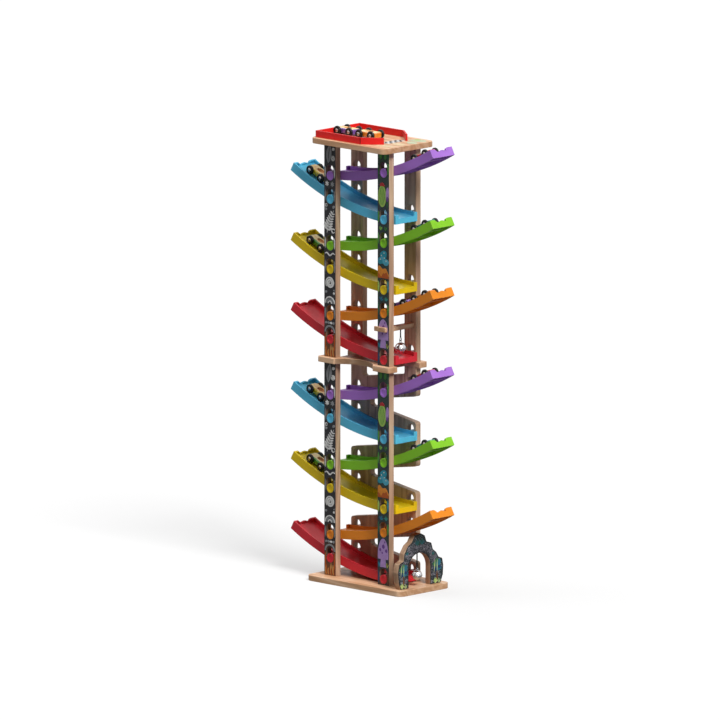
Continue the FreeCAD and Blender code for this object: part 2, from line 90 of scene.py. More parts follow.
class Nodes:
    """A node tree in the making: nodes are added by kind, their inputs set or linked by name."""

    def __init__(self, tree):
        self.tree = tree

    def feed(self, socket, value):
        """Link an output to a socket, or write a constant into it."""
        if isinstance(value, bpy.types.NodeSocket):
            self.tree.links.new(value, socket)
        else:
            socket.default_value = value

    def add(self, kind, inputs, **settings):
        """A new node's outputs."""
        made = self.tree.nodes.new("ShaderNode" + kind)
        for key, value in settings.items():
            setattr(made, key, value)
        for key, value in inputs.items():
            self.feed(made.inputs[key], value)
        return made.outputs

    def work(self, operation, a, b=0.0):
        """One sum on two values."""
        return self.add("Math", {0: a, 1: b}, operation=operation)[0]

    def between(self, value, low, high, to_low=0.0, to_high=1.0):
        """The value spread from low..high to to_low..to_high, and held there."""
        return self.add("MapRange", {"Value": value, "From Min": low, "From Max": high,
                                     "To Min": to_low, "To Max": to_high})[0]


class Finish(Nodes):
    """A material in the making, round its principled shader with a specular level and constants."""

    def __init__(self, name, specular, constants=()):
        self.material = bpy.data.materials.new(name)
        self.material.use_nodes = True
        super().__init__(self.material.node_tree)
        self.shader = self.tree.nodes["Principled BSDF"]
        for key, value in (("Specular IOR Level", specular), *constants):
            self.shader.inputs[key].default_value = value

    def place(self, scale=(1, 1, 1), turn=(0, 0, 0)):
        """Object coordinates, scaled and turned."""
        coordinates = self.add("TexCoord", {})["Object"]
        return self.add("Mapping", {"Vector": coordinates, "Scale": scale, "Rotation": turn})["Vector"]

    def noise(self, scale, detail=3.0, rough=0.5, warp=0.0, turn=(0, 0, 0)):
        """Soft noise between about 0 and 1; scale is one number, or one for each axis."""
        stretch, scale = (scale, 1.0) if isinstance(scale, tuple) else ((1, 1, 1), scale)
        return self.add("TexNoise", {"Vector": self.place(stretch, turn), "Scale": scale, "Detail": detail,
                                     "Roughness": rough, "Distortion": warp})["Fac"]

    def shades(self, value, stops):
        """Colour read from a value: stops are (place, colour code)."""
        made = self.tree.nodes.new("ShaderNodeValToRGB")
        self.feed(made.inputs[0], value)
        elements = made.color_ramp.elements
        while len(elements) < len(stops):
            elements.new(1.0)
        for element, (place, code) in zip(elements, stops):
            element.position = place
            element.color = tint(code)
        return made.outputs[0]

    def mix(self, share, a, b):
        """Two colours mixed by a share."""
        return self.add("Mix", {0: share, 6: a, 7: b}, data_type="RGBA")[2]

    def dapple(self, value, low, high, code, share):
        """A colour that dims to a share of itself as the value rises from low to high."""
        return self.mix(self.between(value, low, high), tint(code), dimmed(code, share))

    def finish(self, colour=None, rough=None, height=None, depth=0.0, soft=0.0):
        """Link the colour, the roughness and a bump of the given depth in metres, over edges shaded
        as if rounded to a radius."""
        if colour is not None:
            self.feed(self.shader.inputs["Base Color"], colour)
        if rough is not None:
            self.feed(self.shader.inputs["Roughness"], rough)
        if height is not None:
            inputs = {"Height": height, "Distance": depth, "Strength": 1.0}
            if soft:
                inputs["Normal"] = self.add("Bevel", {"Radius": soft})["Normal"]
            self.feed(self.shader.inputs["Normal"], self.add("Bump", inputs)["Normal"])
        return self.material


def grain_scale(along, length, across):
    """Scale that stretches a pattern along one axis."""
    return tuple(length if axis == along else across for axis in "xyz")


def wood(name, along, pale="eac6a4", dark="cb9d76", deep="aa7c58", soft=edge_softness):
    """Clear-lacquered beech: growth lines from the contours of a stretched noise, fine fibres,
    short dark pores, and darker end grain on the faces across the fibres."""
    f = Finish(name, 0.4, (("Coat Weight", 0.12), ("Coat Roughness", 0.35)))
    broad = f.noise(grain_scale(along, 2.2, 30.0), 2.0, 0.5, 0.4)
    rings = f.work("PINGPONG", f.work("MULTIPLY", broad, 11.0), 1.0)
    fibres = f.noise(grain_scale(along, 22.0, 900.0), 3.0, 0.6)
    pores = f.noise(grain_scale(along, 110.0, 2100.0), 1.0, 0.5)
    pore_marks = f.between(pores, 0.66, 0.74)
    tone = f.work("ADD", f.work("MULTIPLY", rings, 0.55), f.work("MULTIPLY", fibres, 0.45))
    colour = f.shades(tone, [(0.15, pale), (0.62, dark), (0.95, deep)])
    colour = f.mix(f.work("MULTIPLY", pore_marks, 0.45), colour, tint(deep))
    cloudy = f.noise(14.0, 2.0)
    colour = f.mix(f.between(cloudy, 0.3, 0.75, 0.0, 0.35), colour, tint(dark))
    normal = f.add("TexCoord", {})["Normal"]
    axes = f.add("SeparateXYZ", {"Vector": normal})
    end_grain = f.between(f.work("ABSOLUTE", axes[along.upper()]), 0.6, 0.9, 0.0, 0.45)
    colour = f.mix(end_grain, colour, tint(deep))
    rough = f.between(fibres, 0.3, 0.7, 0.42, 0.6)
    height = f.work("SUBTRACT", f.work("MULTIPLY", fibres, 0.6), pore_marks)
    return f.finish(colour, rough, height, 0.04 * MM, soft)


def plastic(name, code):
    """Moulded plastic: a fine eggshell texture, faint flow marks and a soft gloss."""
    f = Finish(name, 0.32)
    flow = f.noise((9, 30, 30), 3.0, 0.55, 0.6)
    colour = f.dapple(flow, 0.35, 0.7, code, 0.86)
    eggshell = f.noise(1900.0, 2.0, 0.5)
    rough = f.between(f.noise(160.0, 2.0), 0.3, 0.7, 0.34, 0.46)
    return f.finish(colour, rough, eggshell, 0.02 * MM, edge_softness)


def paint(name, code):
    """Glossy lacquer over wood: faint grain under a coat, slightly uneven colour."""
    f = Finish(name, 0.5, (("Coat Weight", 0.7), ("Coat Roughness", 0.06)))
    cloudy = f.noise(120.0, 3.0, 0.6)
    colour = f.dapple(cloudy, 0.3, 0.7, code, 0.8)
    rough = f.between(f.noise(420.0, 2.0), 0.3, 0.7, 0.24, 0.36)
    return f.finish(colour, rough, f.noise((300, 1300, 1300), 2.0), 0.02 * MM)


def ink(name, code):
    """Matt printing ink: a fine speckle over a slightly blotchy colour."""
    f = Finish(name, 0.3)
    speckle = f.noise(1500.0, 2.0, 0.6)
    blotch = f.noise(130.0, 3.0, 0.6)
    both = f.work("ADD", f.work("MULTIPLY", speckle, 0.5), f.work("MULTIPLY", blotch, 0.5))
    rough = f.between(speckle, 0.3, 0.7, 0.5, 0.62)
    return f.finish(f.dapple(both, 0.36, 0.66, code, 0.7), rough, speckle, 0.01 * MM)


def print_ground(name, stops, low, high):
    """Printed ground of a post: a dark wash whose colour changes with height, with scratchy
    strokes across it."""
    f = Finish(name, 0.3)
    height = f.add("SeparateXYZ", {"Vector": f.place()})["Z"]
    wander = f.between(f.noise(60.0, 3.0, 0.6), 0.2, 0.8, -0.06, 0.06)
    share = f.work("ADD", f.between(height, low, high), wander)
    colour = f.shades(share, stops)
    strokes = f.noise((420, 420, 70), 3.0, 0.65, 0.8)
    colour = f.mix(f.between(strokes, 0.55, 0.8, 0.0, 0.35), colour, tint("5a5a58"))
    rough = f.between(strokes, 0.3, 0.7, 0.42, 0.58)
    return f.finish(colour, rough, strokes, 0.01 * MM, edge_softness)


def stone_ground(name, middle, spring, radius):
    """Printed rock round an arch: near-black at the arch, then slate with lilac streaks, dark green
    further out and on the legs. middle, spring and radius place the arch in metres."""
    f = Finish(name, 0.3)
    place = f.place()
    axes = f.add("SeparateXYZ", {"Vector": place})
    beside = f.work("SUBTRACT", axes["Y"], middle)
    above = f.work("MAXIMUM", f.work("SUBTRACT", axes["Z"], spring), 0.0)
    reach = f.work("SQRT", f.work("ADD", f.work("POWER", beside, 2.0), f.work("POWER", above, 2.0)))
    wander = f.between(f.noise(90.0, 3.0, 0.6), 0.2, 0.8, -0.12, 0.12)
    share = f.work("ADD", f.between(reach, radius, 2.2 * radius), wander)
    bands = f.shades(share, [(0.0, "14181a"), (0.14, "3a3f44"), (0.3, "5b5962"), (0.5, "474d50"),
                             (0.7, "25413e"), (1.0, "1c3636")])
    leg = f.between(axes["Z"], 0.6 * spring, 1.5 * spring, 0.75, 0.0)
    colour = f.mix(leg, bands, tint("1f3034"))
    streaks = f.noise((190, 190, 285), 3.0, 0.7, 1.4, (0.6, 0, 0))
    colour = f.mix(f.between(streaks, 0.51, 0.6, 0.0, 0.7), colour, tint("a09aa4"))
    colour = f.mix(f.between(streaks, 0.47, 0.4, 0.0, 0.85), colour, tint("0e1618"))
    blocks = f.add("TexVoronoi", {"Vector": place, "Scale": 110.0}, feature="DISTANCE_TO_EDGE")
    colour = f.mix(f.between(blocks["Distance"], 0.02, 0.09, 0.55, 0.0), colour, tint("0f1416"))
    rough = f.between(streaks, 0.3, 0.7, 0.45, 0.6)
    return f.finish(colour, rough, streaks, 0.01 * MM, edge_softness)


def rubber(name):
    """Black hard plastic of the wheels, with fine turning marks."""
    f = Finish(name, 0.35)
    cloudy = f.noise(300.0, 3.0, 0.6)
    colour = f.shades(cloudy, [(0.3, "060607"), (0.7, "111113")])
    rough = f.between(cloudy, 0.3, 0.7, 0.34, 0.48)
    return f.finish(colour, rough, f.noise(1600.0, 2.0), 0.015 * MM)


def metal(name, code, low, high):
    """Bright metal with hairline scratches: roughness from low to high."""
    f = Finish(name, 0.5, (("Metallic", 1.0),))
    smear = f.noise(260.0, 3.0, 0.6, 0.4)
    hairs = f.noise((3200, 400, 3200), 2.0, 0.5)
    both = f.work("ADD", f.work("MULTIPLY", smear, 0.7), f.work("MULTIPLY", hairs, 0.3))
    rough = f.between(both, 0.3, 0.7, low, high)
    return f.finish(f.dapple(smear, 0.3, 0.7, code, (0.85, 0.85, 0.87)), rough, hairs, 0.004 * MM)


def braid(name):
    """Black waxed cord: short slanting strands."""
    f = Finish(name, 0.25)
    strands = f.noise((2600, 2600, 900), 2.0, 0.5, 0.0, (0.5, 0, 0))
    colour = f.shades(strands, [(0.3, "040405"), (0.7, "141417")])
    return f.finish(colour, f.between(strands, 0.3, 0.7, 0.5, 0.7), strands, 0.08 * MM)


lower_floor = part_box("base_board")[1].z
upper_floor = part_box("mid_board")[1].z
storey_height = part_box("lower_front_posts")[1].z - lower_floor
storey_floors = {"lower": lower_floor, "upper": upper_floor}

wood_lengthwise = wood("beech_lengthwise", "x")
# darker wood for the faces inside the middle board's scoop: painted shade
wood_scoop_painted_shade = wood("beech_scoop_edge", "x", "b2967d", "9a7759", "815e43")
# greyer and darker than the boards' wood: painted shade on the posts and the back panel
wood_upright_painted_shade = wood("beech_upright", "z", "d6b89a", "b28e74", "8e705a")
# darker wood for the gate's sides: painted shade from the ramp above
wood_gate_painted_shade = wood("beech_gate", "z", "c4a484", "a07c60", "7c6048")
wood_crosswise = wood("beech_crosswise", "y")
# darker wood for the walls of the posts' slots: painted shade in the recesses
wood_slots_painted_shade = wood("beech_slot_walls", "y", "8a7362", "75604f", "5c4a3d")
# paler than the other beech: painted light on the cars' tops
wood_seat_painted_light = wood("beech_car_top", "x", "ffecbe", "fad694", "deaa64", 0.0)
wood_hollow = wood("beech_car_seat", "x", "dc9c58", "c27a38", "9a5a24", 0.0)
plastics = {name: plastic("moulded_" + name, code) for name, code in plastic_colours.items()}
tray_red = plastic("tray_red", "e3201f")
# near-black plastic on the walls of the tray's slits: painted shade in the gaps
tray_slits = plastic("tray_slits", "3c0a0a")
paints = {name: paint("lacquer_" + name, code) for name, code in paint_colours.items()}
inks = {name: ink("ink_" + name, code) for name, code in ink_colours.items()}
tyre = rubber("wheel_black")
hub_metal = metal("hub_nickel", "b9b1ad", 0.22, 0.36)
bell_metal = metal("bell_nickel", "dcdcde", 0.14, 0.26)
bell_cord = braid("cord_black")
rock = stone_ground("printed_rock", -3 * MM, 45 * MM, 27 * MM)


# Shapes

merge_distance = 0.002 * MM
flat_angle = math.radians(0.1)
eased_angle = math.radians(32)


def placed(name, data):
    """A new object linked into the scene."""
    made = bpy.data.objects.new(name, data)
    bpy.context.scene.collection.objects.link(made)
    return made


def paired(x, y):
    """Points from their two coordinates."""
    return np.stack([x, y], axis=1)


def full_turn(count):
    """Evenly spaced angles of a whole turn."""
    return np.linspace(0, 2 * math.pi, count, endpoint=False)


def skin(rings, closed=True, capped=(True, True)):
    """Points and faces of a surface given as rings x points x 3: quads between neighbouring
    rings, joined round if closed, with one flat face over each capped end."""
    count, around = rings.shape[:2]
    grid = np.arange(count * around).reshape(count, around)
    following = np.roll(grid, -1, axis=1)
    quads = np.stack([grid[:-1], following[:-1], following[1:], grid[1:]], axis=-1)
    if not closed:
        quads = quads[:, :-1]
    faces = quads.reshape(-1, 4).tolist()
    if capped[0]:
        faces.append(grid[0][::-1].tolist())
    if capped[1]:
        faces.append(grid[-1].tolist())
    return rings.reshape(-1, 3), faces


def part(rings, middle, finish, capped=(True, True)):
    """A part for piece: the skin of closed rings, moved to a middle."""
    points, faces = skin(rings, True, capped)
    return points + middle, faces, finish


def piece(name, parts, node_or_body, replaces=(), sharp=35.0, merge=0.0):
    """One object from parts of (points, faces, finish), turned outwards and smooth up to the
    sharp angle."""
    points = []
    faces = []
    finishes = []
    slots = []
    offset = 0
    for part_points, part_faces, finish in parts:
        if finish not in finishes:
            finishes.append(finish)
        points.append(np.asarray(part_points, float))
        faces.extend([[index + offset for index in face] for face in part_faces])
        slots.extend([finishes.index(finish)] * len(part_faces))
        offset += len(part_points)
    mesh = bpy.data.meshes.new(name)
    mesh.from_pydata(np.concatenate(points), [], faces)
    mesh.polygons.foreach_set("material_index", slots)
    for finish in finishes:
        mesh.materials.append(finish)
    made = bmesh.new()
    made.from_mesh(mesh)
    if merge:
        bmesh.ops.remove_doubles(made, verts=made.verts, dist=merge)
    bmesh.ops.recalc_face_normals(made, faces=made.faces)
    made.to_mesh(mesh)
    made.free()
    return settle(name, mesh, node_or_body, replaces, sharp)


def settle(name, mesh, node_or_body, replaces, sharp):
    mesh.polygons.foreach_set("use_smooth", np.ones(len(mesh.polygons), bool))
    mesh.set_sharp_from_angle(angle=math.radians(sharp))
    made = placed(name, mesh)
    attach(made, body_of.get(node_or_body, node_or_body))
    if replaces:
        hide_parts(*replaces)
    return made


def merged(node):
    """A node's own shape with its doubles merged, open for edits."""
    made = bmesh.new()
    made.from_mesh(frame["nodes"][node].data)
    bmesh.ops.remove_doubles(made, verts=made.verts, dist=merge_distance)
    return made


def eased(node, finishes, width=0.0, segments=2):
    """A node's own shape, its flat faces shaded flat; given a width, they are joined up and the
    sharp edges rounded. finishes are (test on a face, finish), and the first that holds counts."""
    made = merged(node)
    shortest_edge = (0.05 if width else 0.01) * MM
    bmesh.ops.dissolve_degenerate(made, edges=made.edges, dist=shortest_edge)
    for face in made.faces:
        face.material_index = next(i for i, (test, finish) in enumerate(finishes) if test(face))
    if width:
        bmesh.ops.dissolve_limit(made, angle_limit=flat_angle, verts=made.verts, edges=made.edges,
                                 delimit={"MATERIAL"})
    mesh = bpy.data.meshes.new(node + "_eased")
    made.to_mesh(mesh)
    made.free()
    for name in [a.name for a in mesh.attributes if a.name in ("custom_normal", "sharp_face")]:
        mesh.attributes.remove(mesh.attributes[name])
    for test, finish in finishes:
        mesh.materials.append(finish)
    sharp = 180.0 if width else 30.0
    eased_piece = settle(node + "_eased", mesh, node, (node,), sharp)
    if width:
        bevel = eased_piece.modifiers.new("eased_edges", "BEVEL")
        bevel.width = width
        bevel.segments = segments
        bevel.limit_method = "ANGLE"
        bevel.angle_limit = eased_angle
        bevel.use_clamp_overlap = False
    eased_piece.modifiers.new("flat_faces", "WEIGHTED_NORMAL").keep_sharp = True


def whole(finish):
    """One finish for every face of a node."""
    return [(lambda face: True, finish)]


# Boards, posts, panel and hanger

def boards():
    """The three boards, the plain posts, the back panel and the bell hanger. The faces inside the
    middle board's scoop get darker wood as painted shade."""
    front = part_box("mid_board")[0].y + 3 * MM
    scoop_half = 50 * MM

    # faces inside the scoop, which get the darker wood of painted shade
    def in_scoop(face):
        place = face.calc_center_median()
        return face.normal.y < -0.3 and place.y > front and abs(place.x) < scoop_half

    plain = whole(wood_lengthwise)
    upright = whole(wood_upright_painted_shade)
    for node, finishes, width, segments in (
            ("base_board", plain, 0.8, 3), ("mid_board", [(in_scoop, wood_scoop_painted_shade)] + plain, 0.8, 3),
            ("top_board", plain, 0.8, 3), ("lower_back_panel", upright, 0.3, 2),
            ("upper_back_posts", upright, 0.3, 2), ("bell_bar", whole(wood_crosswise), 0.5, 2)):
        eased(node, finishes, width * MM, segments)


boards()


# Ramps and tray

tray_wall = 3.0 * MM
tray_joint = 1.2 * MM
tray_joint_x = 23.9 * MM


def ramps():
    """The twelve moulded ramps, and the red rails of the start tray, whose joints between them have
    walls painted near-black as painted shade in the gaps."""
    for storey in storey_floors:
        for colour, finish in plastics.items():
            eased(f"{storey}_ramp_{colour}", whole(finish))
    lowest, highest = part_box("start_tray")
    back_joint_y = highest.y - tray_wall - tray_joint / 2

    # faces in the tray's slits, which get the near-black of painted shade
    def in_joint(face):
        place = face.calc_center_median()
        front = (abs(face.normal.x) > 0.9 and abs(place.x - tray_joint_x) < tray_joint
                 and place.y < lowest.y + tray_wall)
        back = (abs(face.normal.y) > 0.9 and abs(place.y - back_joint_y) < tray_joint
                and place.x < lowest.x + tray_wall)
        return front or back

    eased("start_tray", [(in_joint, tray_slits)] + whole(tray_red), 0.3 * MM)


ramps()


# Cars

wheel_radius = 8.0 * MM
wheel_width = 4.0 * MM
wheel_inner = 10.5 * MM
tyre_steps = ((0.0, 0.0), (0.86, 0.0), (0.95, 0.05), (1.0, 0.2), (1.0, 0.8), (0.95, 0.95), (0.86, 1.0),
              (0.7, 1.0), (0.66, 0.86), (0.46, 0.82), (0.43, 0.95))
hub_steps = ((0.43, 0.9), (0.41, 1.06), (0.32, 1.18), (0.2, 1.26), (0.08, 1.3))
car_length = 44.5 * MM
car_width = 20.0 * MM
car_height = 9.5 * MM
car_under = -4.5 * MM
wheel_pairs = ("_front_wheels", "_rear_wheels")
nose_round = 6.0 * MM
seat_length = 17.0 * MM
seat_width = 11.0 * MM
axle_share = 0.19
under_round = 0.9 * MM
top_round = 1.9 * MM
deck_rise = 0.3 * MM
deck_shares = (0, 0.3, 0.6, 0.85, 0.95)
hollow_shares = (1.02, 0.98, 0.95, 0.9, 0.8, 0.6, 0.3)
hollow_depths = (0.0, 0.25, 0.6, 1.6, 2.3, 2.7, 2.8)


def turned(steps, radius, length, start, way, around=40):
    """Rings of a turned part about the Y axis: steps are (share of the radius, share of the
    length), from start along Y in the way 1 or -1."""
    angle = full_turn(around)
    share, along = np.array(steps).T
    rings = np.empty((len(steps), around, 3))
    rings[..., 0] = radius * share[:, None] * np.cos(angle)
    rings[..., 1] = (start + way * length * along)[:, None]
    rings[..., 2] = radius * share[:, None] * np.sin(angle)
    return rings


def rounded_rectangle(length, width, corner):
    """Outline with round corners: an arc for each quadrant, then points along the side after it."""
    per_corner = 10
    per_side = 6
    turn = np.linspace(0, math.pi / 2, per_corner)
    arcs = []
    for quadrant, (sx, sy) in enumerate(((1, 1), (-1, 1), (-1, -1), (1, -1))):
        centre = np.array([sx * (length / 2 - corner), sy * (width / 2 - corner)])
        angle = turn + quadrant * math.pi / 2
        arcs.append(centre + corner * paired(np.cos(angle), np.sin(angle)))
    points = []
    share = np.arange(1, per_side + 1)[:, None] / (per_side + 1)
    for arc, following in zip(arcs, arcs[1:] + arcs[:1]):
        points.append(arc)
        points.append(arc[-1] + (following[0] - arc[-1]) * share)
    return np.concatenate(points)


def oval_like(outline, length, width):
    """Oval with one point for each point of an outline, in the same directions."""
    angle = np.arctan2(outline[:, 1] / width, outline[:, 0] / length)
    return paired(length / 2 * np.cos(angle), width / 2 * np.sin(angle))


def raise_rings(outlines, heights):
    """Rings from flat outlines and their heights."""
    rings = np.empty((len(outlines), len(outlines[0]), 3))
    for ring, outline, height in zip(rings, outlines, heights):
        ring[:, :2] = outline
        ring[:, 2] = height
    return rings


def car_shell():
    """Body of a car round the middle of its axles: a block with round ends and edges, whose top
    slopes gently up to an oval seat."""
    top = car_under + car_height
    outlines = []
    heights = []

    def step_in(inset, height):
        outlines.append(rounded_rectangle(car_length - 2 * inset, car_width - 2 * inset, nose_round - inset))
        heights.append(height)

    for turn in np.linspace(0, math.pi / 2, 4):
        step_in(under_round * (1 - math.sin(turn)), car_under + under_round * (1 - math.cos(turn)))
    for turn in np.linspace(0, math.pi / 2, 7):
        step_in(top_round * (1 - math.cos(turn)), top - top_round * (1 - math.sin(turn)) - deck_rise)
    side = raise_rings(outlines, heights)
    rim = outlines[-1]
    seat_rim = oval_like(rim, seat_length, seat_width)
    deck = raise_rings([rim + (seat_rim - rim) * share for share in deck_shares],
                       [heights[-1] + deck_rise * math.sin(share * math.pi / 2) for share in deck_shares])
    hollow = raise_rings([seat_rim * share for share in hollow_shares],
                         [top - depth * MM for depth in hollow_depths])
    return side, np.concatenate([deck, hollow[:1]]), hollow


car_side, car_deck, car_hollow = car_shell()


def car_place(car):
    """Where a car stands: its axes ahead, across and up as columns, the middle between its axles
    and the middle of each."""
    centres = []
    for end in wheel_pairs:
        lowest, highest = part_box(car + end)
        centres.append((lowest + highest) / 2)
    ahead = (centres[0] - centres[1]).normalized()
    across = Vector((0, 1, 0)) * (1 if ahead.x > 0 else -1)
    turn = np.array([ahead, across, ahead.cross(across)]).T
    return turn, np.array((centres[0] + centres[1]) / 2), np.array(centres)


def car(name, colour):
    """One car: a lacquered body with a bare top and seat, and two pairs of wheels."""
    turn, middle, axles = car_place(name)
    shell = []
    for rings, finish, capped in ((car_side, paints[colour], (True, False)),
                                  # the top gets the paler wood of painted light
                                  (car_deck, wood_seat_painted_light, (False, False)),
                                  (car_hollow, wood_hollow, (False, True))):
        points, faces = skin(rings, True, capped)
        shell.append((points @ turn.T + middle, faces, finish))
    piece(name + "_shell", shell, name + "_body", (name + "_body",), 40.0,
          0.001 * MM)
    for end, centre in zip(wheel_pairs, axles):
        parts = []
        for hand in (-1, 1):
            for steps, finish in ((tyre_steps, tyre), (hub_steps, hub_metal)):
                rings = turned(steps, wheel_radius, wheel_width, hand * wheel_inner, hand)
                parts.append(part(rings, centre, finish))
        axle_steps = ((axle_share, 0.0), (axle_share, 1.0))
        axle = turned(axle_steps, wheel_radius, 2 * wheel_inner, -wheel_inner, 1, 16)
        parts.append(part(axle, centre, hub_metal))
        piece(name + end + "_turned", parts, name + end, (name + end,), 40.0)


def cars():
    """All twelve cars, each in the colour in its name."""
    for node in sorted(frame["nodes"]):
        if node.endswith("_car_body"):
            car(node[:-len("_body")], node.split("_")[1])


cars()


# Bells

bell_wall = 0.8 * MM
bell_slot = 1.6 * MM
bell_hole = 1.6 * MM
bell_hole_inset = 3.0 * MM
cord_thickness = 1.3 * MM
cord_spread = 4.4 * MM
cord_play = 0.1 * MM
eye_width = 4.4 * MM
eye_wire = 1.2 * MM
rim_wire = 1.1 * MM
clapper_radius = 2.0 * MM
clapper_gap = 0.3 * MM


def bell_ball(radius):
    """Ball of a jingle bell as four like quarters round +Z, their meridians running upwards. Each
    keeps clear of the meridian planes by the half width of the crossed slots, which end in round
    holes."""
    hole_at = radius * math.asin(1 - bell_hole_inset / radius)
    below = math.asin(bell_slot / 2 * math.sqrt(2) / radius)
    bands = (np.linspace(below, (hole_at - bell_hole) / radius, 14)[:-1],
             np.linspace((hole_at - bell_hole) / radius, (hole_at + bell_hole) / radius, 13),
             np.linspace((hole_at + bell_hole) / radius, math.pi, 18)[1:])
    polar = np.concatenate(bands)
    from_hole = polar * radius - hole_at
    hole = np.sqrt(np.clip(bell_hole ** 2 - from_hole ** 2, 0, None))
    gap = np.where(from_hole < 0, np.maximum(hole, bell_slot / 2), hole)
    ring = np.maximum(radius * np.sin(polar), 1e-9)
    turn_off = np.arcsin(np.clip(gap / ring, 0, math.sin(math.pi / 4)))
    share = np.linspace(0, 1, 13)
    quarters = []
    for quarter in range(4):
        turn = turn_off[:, None] + (math.pi / 2 - 2 * turn_off)[:, None] * share + quarter * math.pi / 2
        grid = np.empty((len(polar), len(share), 3))
        grid[..., 0] = ring[:, None] * np.cos(turn)
        grid[..., 1] = ring[:, None] * np.sin(turn)
        grid[..., 2] = -(radius * np.cos(polar))[:, None]
        quarters.append(skin(grid, False, (False, False)))
    return quarters


def ring_tube(major, minor, axis):
    """Rings of a round wire: a circle of radius minor carried round a circle of radius major about
    the Z or the Y axis."""
    along = full_turn(48)[:, None]
    across = full_turn(12)[None, :]
    flat = major + minor * np.cos(across)
    first = flat * np.cos(along)
    second = flat * np.sin(along)
    third = np.broadcast_to(minor * np.sin(across), first.shape)
    rings = np.stack((first, second, third) if axis == "z" else (second, third, first), axis=-1)
    return np.concatenate([rings, rings[:1]])


def bell(name, drop, diameter, cord_length):
    """A jingle bell on its doubled cord: slotted ball with a rim and an eye, and a loose ball."""
    lowest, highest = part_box(name)
    hang = Vector(((lowest.x + highest.x) / 2, (lowest.y + highest.y) / 2, highest.z))
    radius = diameter / 2
    crown = hang.z - drop
    centre = np.array([hang.x, hang.y, crown - radius])
    parts = [(points + centre, faces, bell_metal) for points, faces in bell_ball(radius)]
    shell = piece(name + "_ball", parts, name, (name,), 40.0, 0.01 * MM)
    wall = shell.modifiers.new("wall", "SOLIDIFY")
    wall.thickness = bell_wall
    wall.offset = -1
    eye_z = crown + (eye_width - eye_wire) / 2
    trims = []
    for major, minor, axis, z in ((radius, rim_wire / 2, "z", centre[2]),
                                  (eye_width / 2, eye_wire / 2, "y", eye_z)):
        trims.append(part(ring_tube(major, minor, axis), (hang.x, hang.y, z), bell_metal, (False, False)))
    angle = np.linspace(0, math.pi, 13)
    clapper_steps = tuple(zip(np.sin(angle), (1 - np.cos(angle)) / 2))
    clapper = turned(clapper_steps, clapper_radius, 2 * clapper_radius, -clapper_radius, 1, 24)
    clapper_z = lowest.z + bell_wall + clapper_radius + clapper_gap
    trims.append(part(clapper, (hang.x, hang.y, clapper_z), hub_metal, (False, False)))
    piece(name + "_trim", trims, name, (), 60.0, 0.001 * MM)
    loop(name, hang, eye_z + (eye_width - eye_wire - cord_thickness) / 2 - cord_play, cord_length)


def loop(name, hang, low_z, length):
    """Doubled cord as one smooth curve: down from the hanging point, through the eye and up again;
    its lowest stretch runs along low_z."""
    half = cord_spread / 2
    strand = [(0.5 * cord_thickness, 1.0), (0.5 * cord_thickness, 0.5), (0.36 * half, 0.25)]
    down = [(hang.x, hang.y - side, low_z + half + (hang.z - low_z - half) * share) for side, share in strand]
    down += [(hang.x, hang.y - half, low_z + half), (hang.x, hang.y - half, low_z)]
    up = [(x, 2 * hang.y - y, z) for x, y, z in reversed(down)]
    route = down + up
    curve = bpy.data.curves.new(name + "_cord", "CURVE")
    curve.dimensions = "3D"
    spline = curve.splines.new("NURBS")
    spline.points.add(len(route) - 1)
    for point, place in zip(spline.points, route):
        point.co = (*place, 1.0)
    spline.order_u = 3
    spline.use_endpoint_u = True
    spline.resolution_u = 8
    curve.bevel_depth = cord_thickness / 2
    curve.bevel_resolution = 3
    curve.materials.append(bell_cord)
    made = placed(name + "_cord", curve)
    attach(made, body_of[name])


bell("upper_bell", 23 * MM, 20 * MM, 45 * MM)
bell("finish_bell", 31 * MM, 18 * MM, 61 * MM)


# Prints: flat motifs a few hundredths of a millimetre proud, drawn in millimetres (u, v)

def oval(u, v, half_u, half_v, lean=0.0, count=32, taper=0.0):
    """Ellipse leaning by an angle from upright; taper makes its upper end narrower, as an egg's."""
    angle = full_turn(count)
    x = half_u * np.cos(angle) * (1 - taper * np.sin(angle))
    y = half_v * np.sin(angle)
    return lean_to(x, y, u, v, lean)


def lean_to(x, y, u, v, lean):
    """Points turned clockwise by an angle in degrees, then moved to (u, v)."""
    turn = math.radians(lean)
    return paired(u + x * math.cos(turn) + y * math.sin(turn), v - x * math.sin(turn) + y * math.cos(turn))


def swept(u, v, reach, turn):
    """Points at a reach and an angle from (u, v)."""
    return paired(u + reach * np.cos(turn), v + reach * np.sin(turn))


def leaf(u, v, length, width, lean, bend=0.0):
    """Pointed leaf from its stalk at (u, v): half its width is a sine of the way along, and its
    middle line bends sideways by a parabola."""
    share = np.linspace(0, 1, 12)
    middle = bend * length * share ** 2
    half = width / 2 * np.sin(math.pi * share) ** 0.8
    x = np.concatenate([middle + half, (middle - half)[-2:0:-1]])
    y = np.concatenate([share, share[-2:0:-1]]) * length
    return lean_to(x, y, u, v, lean)


def ribbon(line, width):
    """Band along a line of points: each point is set off to both sides by half the width, which
    fades to a third at the ends."""
    line = np.asarray(line, float)
    along = np.gradient(line, axis=0)
    along /= np.linalg.norm(along, axis=1)[:, None]
    side = paired(-along[:, 1], along[:, 0])
    fade = 0.33 + 0.67 * np.sin(np.linspace(0, math.pi, len(line))) ** 0.5
    offset = side * (width / 2 * fade)[:, None]
    return np.concatenate([line + offset, (line - offset)[::-1]])


def curl(u, v, radius, turns, width, start):
    """Spiral band whose radius grows evenly with its angle."""
    angle = np.linspace(0, 2 * math.pi * turns, int(26 * turns))
    reach = radius * (0.12 + 0.88 * angle / angle[-1])
    turn = angle + math.radians(start)
    return ribbon(swept(u, v, reach, turn), width)


def hoop(u, v, radius, width):
    """Ring with a small gap."""
    return ribbon(swept(u, v, radius, np.radians(20 + np.linspace(0, 330, 30))), width)


